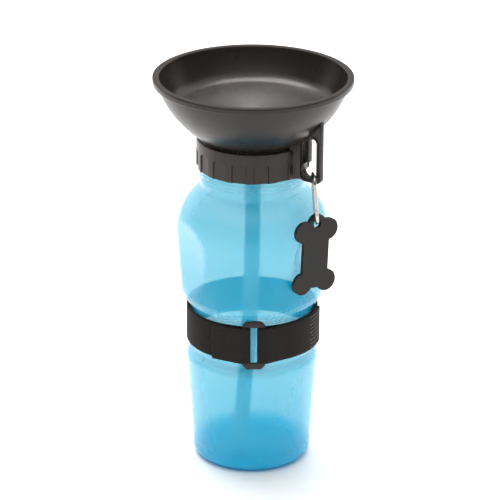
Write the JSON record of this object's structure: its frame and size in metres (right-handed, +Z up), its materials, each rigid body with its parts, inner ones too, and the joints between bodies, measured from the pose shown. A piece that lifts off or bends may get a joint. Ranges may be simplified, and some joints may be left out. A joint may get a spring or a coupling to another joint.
{
  "type": "dog travel water bottle",
  "caption": "Squeeze bottle with a waist groove and a drinking bowl as its screw cap, a dip tube under the bowl, a webbing strap with a ring, and a snap hook that holds a bone-shaped tag.",
  "frame": {"origin": "on the floor at the centre of the bottle's foot", "axes": "+Z up along the bottle's axis; +X from the axis towards the hanger arm that holds the snap hook; +Y to the left of someone who looks along +X"},
  "size_m": [0.127, 0.127, 0.259],
  "materials": {
    "bottle_clear": "soft clear blue, blow moulded, half gloss",
    "bowl_smoke": "clear smoke grey, moulded, smooth",
    "seal": "pale, matt",
    "tube_clear": "milky, soft",
    "webbing": "woven, black",
    "ring_plastic": "black, moulded",
    "hook_metal": "bright nickel plating",
    "pin_metal": "plain steel",
    "tag_rubber": "black, soft, matt"
  },
  "bodies": {
    "flask": {"bottle": "bottle_clear"},
    "seal": {"neck_seal": "seal"},
    "cap": {"bowl": "bowl_smoke", "dip_tube": "tube_clear"},
    "strap": {"strap_band": "webbing", "hook_tape": "webbing", "strap_ring": "ring_plastic"},
    "snap_hook": {"hook_body": "hook_metal", "gate_pin": "pin_metal"},
    "gate": {"hook_gate": "hook_metal", "gate_spring": "pin_metal"},
    "tag": {"bone_tag": "tag_rubber"}
  },
  "joints": [
    {"name": "bowl_lift", "type": "slide", "parent": "flask", "child": "seal", "axis": [0, 0, 1], "range_m": [0, 0.0075]},
    {"name": "bowl_turn", "type": "hinge", "parent": "seal", "child": "cap", "pos_m": [0, 0, 0.2], "axis": [0, 0, 1], "range_deg": [0, 540]},
    {"name": "strap_turn", "type": "hinge", "parent": "flask", "child": "strap", "pos_m": [0, 0, 0.0934], "axis": [0, 0, 1], "continuous": true},
    {"name": "hook_swing", "type": "hinge", "parent": "cap", "child": "snap_hook", "pos_m": [0.04803, -0.0006, 0.19782], "axis": [-0.7451, -0.6637, -0.0652], "range_deg": [0, 60]},
    {"name": "gate_open", "type": "hinge", "parent": "snap_hook", "child": "gate", "pos_m": [0.05451, -0.00629, 0.18178], "axis": [-0.7451, -0.6637, -0.0652], "range_deg": [0, 25], "stiffness_Nm_per_rad": 0.02, "springref_deg": -11.46},
    {"name": "tag_swing", "type": "hinge", "parent": "snap_hook", "child": "tag", "pos_m": [0.05195, -0.00261, 0.17358], "axis": [0.6558, -0.747, 0.1094], "range_deg": [0, 38]}
  ],
  "couplings": [
    {"joint": "bowl_lift", "follows": "bowl_turn", "m_per_rad": 0.0007957}
  ]
}
